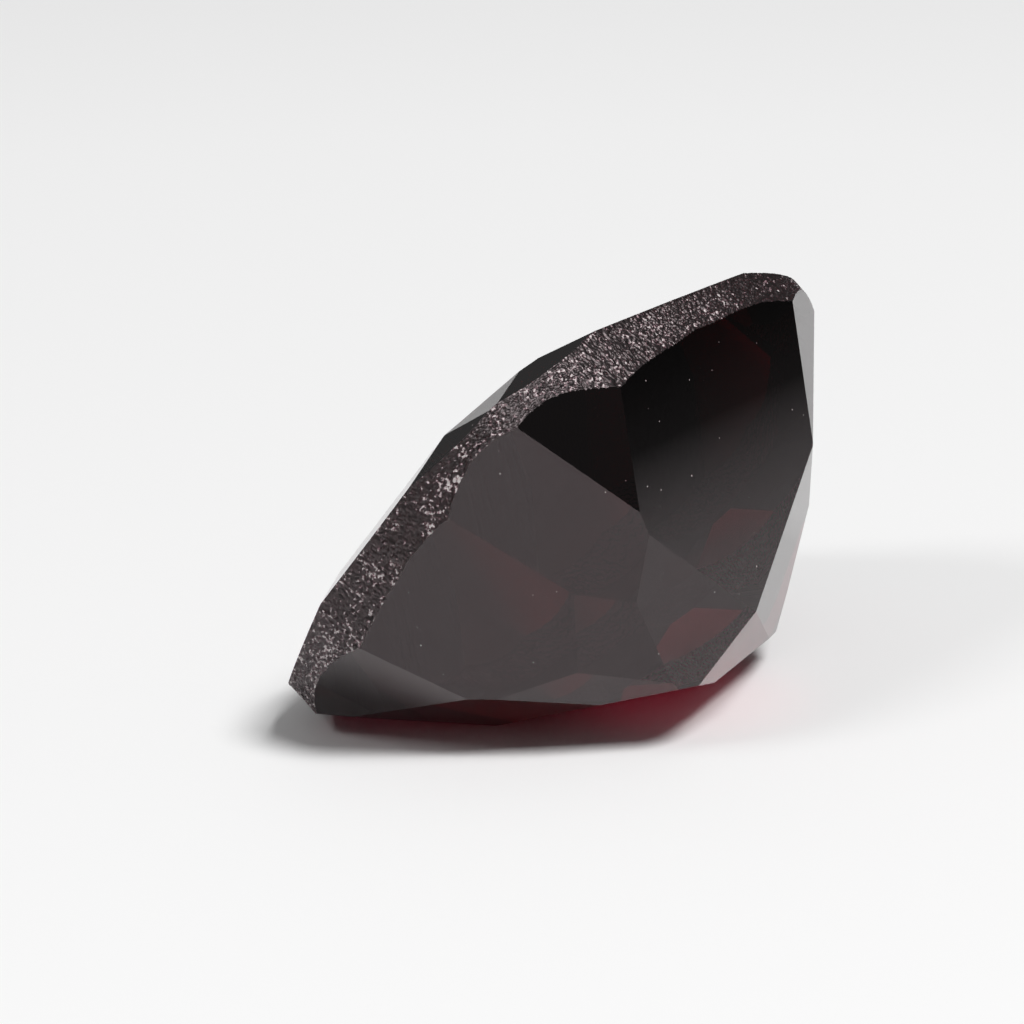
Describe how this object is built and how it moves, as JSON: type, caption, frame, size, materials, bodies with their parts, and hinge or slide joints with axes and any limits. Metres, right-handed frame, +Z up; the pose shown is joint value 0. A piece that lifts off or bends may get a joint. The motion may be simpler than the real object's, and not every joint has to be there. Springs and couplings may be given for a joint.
{
  "type": "faceted garnet gemstone",
  "caption": "Cushion-shaped cut garnet with a shallow crown, a deep faceted pavilion and a frosted girdle, lying on a pavilion facet.",
  "frame": {"origin": "middle of the stone's bounding box, on the surface that it rests on", "axes": "+Z up as the stone lies, -Y towards the near corner that the picture looks at, +X to the right of that view"},
  "size_m": [0.008, 0.0096, 0.0066],
  "materials": {
    "garnet": "polished facets, frosted girdle"
  },
  "bodies": {
    "root": {"garnet": "garnet"}
  },
  "joints": []
}
